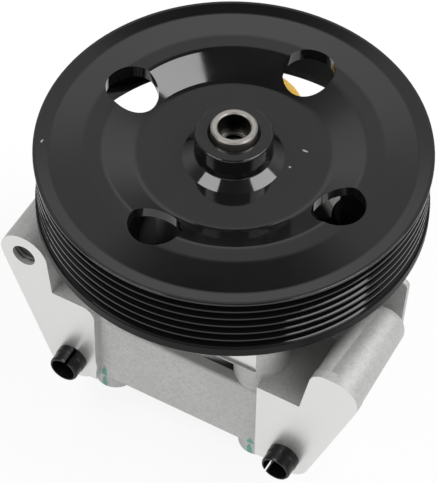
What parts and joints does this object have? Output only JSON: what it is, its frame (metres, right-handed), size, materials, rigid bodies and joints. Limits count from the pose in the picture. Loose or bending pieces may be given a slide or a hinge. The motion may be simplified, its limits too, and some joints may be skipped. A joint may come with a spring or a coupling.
{
  "type": "power steering pump",
  "caption": "Vane-type hydraulic power steering pump with a cast housing, mounting pads with locating sleeves, a grooved belt pulley, a capped suction stub and a threaded outlet.",
  "frame": {"origin": "on the shaft axis, in the plane of the rear cover's outer face", "axes": "+Z along the shaft, out through the pulley; the mounting pads face -Y; the outlet faces -X and the suction stub +Y"},
  "size_m": [0.1337, 0.13, 0.1195],
  "materials": {
    "cast_aluminium": "as-cast, with milled pads",
    "black_paint": "gloss",
    "bright_steel": "turned and ground",
    "bolt_steel": "zinc plated",
    "dark_steel": "phosphated",
    "spring_steel": "oiled",
    "hardened_steel": "ground",
    "bronze": "plain",
    "copper": "plain",
    "rubber": "matte",
    "yellow_plastic": "semi-matte"
  },
  "bodies": {
    "root": {"housing": "cast_aluminium", "rear_cover": "cast_aluminium", "cover_bolts": "bolt_steel", "cover_seal": "rubber", "sleeve_left": "dark_steel", "sleeve_right": "dark_steel", "shaft_seal": "rubber", "bearing_outer_ring": "bright_steel", "bearing_shields": "rubber", "bearing_circlip": "dark_steel", "rear_bush": "bronze", "front_plate": "hardened_steel", "rear_plate": "hardened_steel", "cam_ring": "hardened_steel", "locating_pins": "bright_steel", "plate_spring": "spring_steel", "plate_seal": "rubber", "outlet_union": "bolt_steel", "union_washer": "copper", "valve_spring": "spring_steel", "suction_stub": "bolt_steel", "stub_seal": "rubber"},
    "drive": {"pulley": "black_paint", "pulley_hub": "black_paint", "shaft": "bright_steel", "rotor": "hardened_steel", "rotor_clip": "dark_steel", "bearing_inner_ring": "bright_steel"},
    "ball_train": {"bearing_balls": "bright_steel", "bearing_cage": "bronze"},
    "spool": {"flow_spool": "bright_steel", "relief_seat": "bronze", "relief_spring": "spring_steel"},
    "relief_valve": {"relief_ball": "bright_steel", "relief_guide": "bright_steel"},
    "cap": {"port_cap": "yellow_plastic"},
    "vane_1": {"vane_1": "hardened_steel"},
    "vane_2": {"vane_2": "hardened_steel"},
    "vane_3": {"vane_3": "hardened_steel"},
    "vane_4": {"vane_4": "hardened_steel"},
    "vane_5": {"vane_5": "hardened_steel"},
    "vane_6": {"vane_6": "hardened_steel"},
    "vane_7": {"vane_7": "hardened_steel"},
    "vane_8": {"vane_8": "hardened_steel"},
    "vane_9": {"vane_9": "hardened_steel"},
    "vane_10": {"vane_10": "hardened_steel"}
  },
  "joints": [
    {"name": "pulley_spin", "type": "hinge", "parent": "root", "child": "drive", "pos_m": [0, 0, 0.098], "axis": [0, 0, 1], "continuous": true},
    {"name": "ball_train_spin", "type": "hinge", "parent": "root", "child": "ball_train", "pos_m": [0, 0, 0.088], "axis": [0, 0, 1], "continuous": true},
    {"name": "vane_1_slide", "type": "slide", "parent": "drive", "child": "vane_1", "axis": [0.9511, 0.309, 0], "range_m": [0, 0.00077]},
    {"name": "vane_2_slide", "type": "slide", "parent": "drive", "child": "vane_2", "axis": [0.5878, 0.809, 0], "range_m": [0, 0.00217]},
    {"name": "vane_3_slide", "type": "slide", "parent": "drive", "child": "vane_3", "axis": [0, 1, 0], "range_m": [0, 0.00304]},
    {"name": "vane_4_slide", "type": "slide", "parent": "drive", "child": "vane_4", "axis": [-0.5878, 0.809, 0], "range_m": [0, 0.00217]},
    {"name": "vane_5_slide", "type": "slide", "parent": "drive", "child": "vane_5", "axis": [-0.9511, 0.309, 0], "range_m": [0, 0.00077]},
    {"name": "vane_6_slide", "type": "slide", "parent": "drive", "child": "vane_6", "axis": [-0.9511, -0.309, 0], "range_m": [0, 0.00077]},
    {"name": "vane_7_slide", "type": "slide", "parent": "drive", "child": "vane_7", "axis": [-0.5878, -0.809, 0], "range_m": [0, 0.00217]},
    {"name": "vane_8_slide", "type": "slide", "parent": "drive", "child": "vane_8", "axis": [0, -1, 0], "range_m": [0, 0.00304]},
    {"name": "vane_9_slide", "type": "slide", "parent": "drive", "child": "vane_9", "axis": [0.5878, -0.809, 0], "range_m": [0, 0.00217]},
    {"name": "vane_10_slide", "type": "slide", "parent": "drive", "child": "vane_10", "axis": [0.9511, -0.309, 0], "range_m": [0, 0.00077]},
    {"name": "spool_slide", "type": "slide", "parent": "root", "child": "spool", "axis": [1, 0, 0], "range_m": [0, 0.006], "stiffness_N_per_m": 2500, "deforming": ["valve_spring"]},
    {"name": "relief_slide", "type": "slide", "parent": "spool", "child": "relief_valve", "axis": [-1, 0, 0], "range_m": [0, 0.0015], "stiffness_N_per_m": 1500, "deforming": ["relief_spring"]},
    {"name": "cap_pull", "type": "slide", "parent": "root", "child": "cap", "axis": [0, 1, 0], "range_m": [0, 0.02]}
  ],
  "couplings": [
    {"joint": "ball_train_spin", "follows": "pulley_spin", "ratio": 0.3825}
  ]
}
